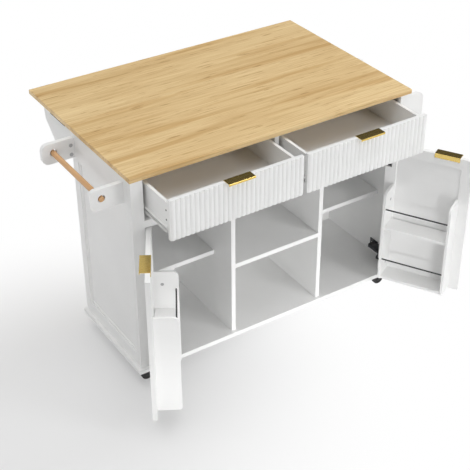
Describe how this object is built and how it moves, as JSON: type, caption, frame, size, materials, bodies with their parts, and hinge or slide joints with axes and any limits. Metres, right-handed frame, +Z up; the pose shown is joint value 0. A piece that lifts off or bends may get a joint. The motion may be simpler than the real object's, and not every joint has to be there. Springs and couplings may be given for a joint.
{
  "type": "folding kitchen island",
  "caption": "Rolling kitchen island with a drop leaf on folding flaps, reeded drawers, racked doors, an open centre bay, a side towel rail and a side spice rack.",
  "frame": {"origin": "on the floor under the middle of the cabinet body", "axes": "+X to the right along the worktop, +Y to the back where the leaf is, +Z up"},
  "size_m": [1.492, 1.1161, 0.92],
  "materials": {
    "white_lacquer": "white satin lacquer on board",
    "oak_board": "light oak grain, matt sealed",
    "pale_dowel": "pale turned wood, oiled",
    "gold_metal": "polished gold-coloured sheet",
    "black_metal": "black satin coat",
    "steel": "bright zinc",
    "dark_steel": "dark nickel",
    "white_metal": "white powder coat",
    "caster_frame": "black coat",
    "caster_wheel": "matt black"
  },
  "bodies": {
    "cabinet": {"base_board": "white_lacquer", "left_side_panel": "white_lacquer", "right_side_panel": "white_lacquer", "back_panel": "white_lacquer", "front_stiles": "white_lacquer", "drawer_deck": "white_lacquer", "bay_dividers": "white_lacquer", "drawer_divider": "white_lacquer", "centre_shelf": "white_lacquer", "side_shelves": "white_lacquer", "shelf_supports": "steel", "worktop": "oak_board", "towel_brackets": "white_lacquer", "towel_rail": "pale_dowel", "towel_bracket_cams": "steel", "spice_rack_ends": "white_lacquer", "spice_rack_shelves": "white_lacquer", "spice_rack_rails": "black_metal", "leaf_hinge_fixed_plates": "steel", "door_hinge_arms": "dark_steel", "drawer_slide_channels": "white_metal", "caster_plates": "steel"},
    "left_drawer": {"left_drawer_front": "white_lacquer", "left_drawer_walls": "white_lacquer", "left_drawer_bottom": "white_lacquer", "left_drawer_runners": "white_metal", "left_drawer_pull": "gold_metal"},
    "left_door": {"left_door_panel": "white_lacquer", "left_door_hinge_pins": "steel", "left_door_pull": "gold_metal", "left_door_rack_ends": "white_lacquer", "left_door_rack_shelves": "white_lacquer", "left_door_rack_rails": "black_metal"},
    "right_drawer": {"right_drawer_front": "white_lacquer", "right_drawer_walls": "white_lacquer", "right_drawer_bottom": "white_lacquer", "right_drawer_runners": "white_metal", "right_drawer_pull": "gold_metal"},
    "right_door": {"right_door_panel": "white_lacquer", "right_door_hinge_pins": "steel", "right_door_pull": "gold_metal", "right_door_rack_ends": "white_lacquer", "right_door_rack_shelves": "white_lacquer", "right_door_rack_rails": "black_metal"},
    "leaf": {"leaf_board": "oak_board", "leaf_hinge_moving_plates": "steel", "flap_hinge_fixed_plates": "black_metal", "flap_stops": "black_metal"},
    "left_flap": {"left_flap": "white_lacquer", "left_flap_hinge_plate": "black_metal"},
    "right_flap": {"right_flap": "white_lacquer", "right_flap_hinge_plate": "black_metal"},
    "caster_fork_front_left": {"caster_fork_front_left": "caster_frame"},
    "caster_wheel_front_left": {"caster_wheel_front_left": "caster_wheel"},
    "caster_fork_front_right": {"caster_fork_front_right": "caster_frame"},
    "caster_wheel_front_right": {"caster_wheel_front_right": "caster_wheel"},
    "caster_fork_rear_left": {"caster_fork_rear_left": "caster_frame"},
    "caster_wheel_rear_left": {"caster_wheel_rear_left": "caster_wheel"},
    "caster_fork_rear_right": {"caster_fork_rear_right": "caster_frame"},
    "caster_wheel_rear_right": {"caster_wheel_rear_right": "caster_wheel"}
  },
  "joints": [
    {"name": "left_drawer_slide", "type": "slide", "parent": "cabinet", "child": "left_drawer", "axis": [0, -1, 0], "range_m": [-0.168, 0.132]},
    {"name": "right_drawer_slide", "type": "slide", "parent": "cabinet", "child": "right_drawer", "axis": [0, -1, 0], "range_m": [-0.168, 0.132]},
    {"name": "left_door_hinge", "type": "hinge", "parent": "cabinet", "child": "left_door", "pos_m": [-0.555, -0.219, 0.394], "axis": [0, 0, 1], "range_deg": [0, 120]},
    {"name": "right_door_hinge", "type": "hinge", "parent": "cabinet", "child": "right_door", "pos_m": [0.555, -0.219, 0.394], "axis": [0, 0, 1], "range_deg": [-120, 0]},
    {"name": "leaf_drop", "type": "hinge", "parent": "cabinet", "child": "leaf", "pos_m": [0, 0.258, 0.8986], "axis": [1, 0, 0], "range_deg": [-90, 0]},
    {"name": "left_flap_fold", "type": "hinge", "parent": "leaf", "child": "left_flap", "pos_m": [-0.5866, 0.377, 0.8986], "axis": [0, 1, 0], "range_deg": [-90, 0]},
    {"name": "right_flap_fold", "type": "hinge", "parent": "leaf", "child": "right_flap", "pos_m": [0.5866, 0.377, 0.8986], "axis": [0, 1, 0], "range_deg": [0, 90]},
    {"name": "caster_swivel_front_left", "type": "hinge", "parent": "cabinet", "child": "caster_fork_front_left", "pos_m": [-0.57, -0.2, 0.06], "axis": [0, 0, 1], "continuous": true},
    {"name": "caster_roll_front_left", "type": "hinge", "parent": "caster_fork_front_left", "child": "caster_wheel_front_left", "pos_m": [-0.588, -0.2, 0.025], "axis": [0, 1, 0], "continuous": true},
    {"name": "caster_swivel_front_right", "type": "hinge", "parent": "cabinet", "child": "caster_fork_front_right", "pos_m": [0.57, -0.2, 0.06], "axis": [0, 0, 1], "continuous": true},
    {"name": "caster_roll_front_right", "type": "hinge", "parent": "caster_fork_front_right", "child": "caster_wheel_front_right", "pos_m": [0.552, -0.2, 0.025], "axis": [0, 1, 0], "continuous": true},
    {"name": "caster_swivel_rear_left", "type": "hinge", "parent": "cabinet", "child": "caster_fork_rear_left", "pos_m": [-0.57, 0.188, 0.06], "axis": [0, 0, 1], "continuous": true},
    {"name": "caster_roll_rear_left", "type": "hinge", "parent": "caster_fork_rear_left", "child": "caster_wheel_rear_left", "pos_m": [-0.588, 0.188, 0.025], "axis": [0, 1, 0], "continuous": true},
    {"name": "caster_swivel_rear_right", "type": "hinge", "parent": "cabinet", "child": "caster_fork_rear_right", "pos_m": [0.57, 0.188, 0.06], "axis": [0, 0, 1], "continuous": true},
    {"name": "caster_roll_rear_right", "type": "hinge", "parent": "caster_fork_rear_right", "child": "caster_wheel_rear_right", "pos_m": [0.552, 0.188, 0.025], "axis": [0, 1, 0], "continuous": true}
  ],
  "couplings": [
    {"joint": "left_flap_fold", "follows": "leaf_drop", "ratio": 1},
    {"joint": "right_flap_fold", "follows": "leaf_drop", "ratio": -1}
  ]
}
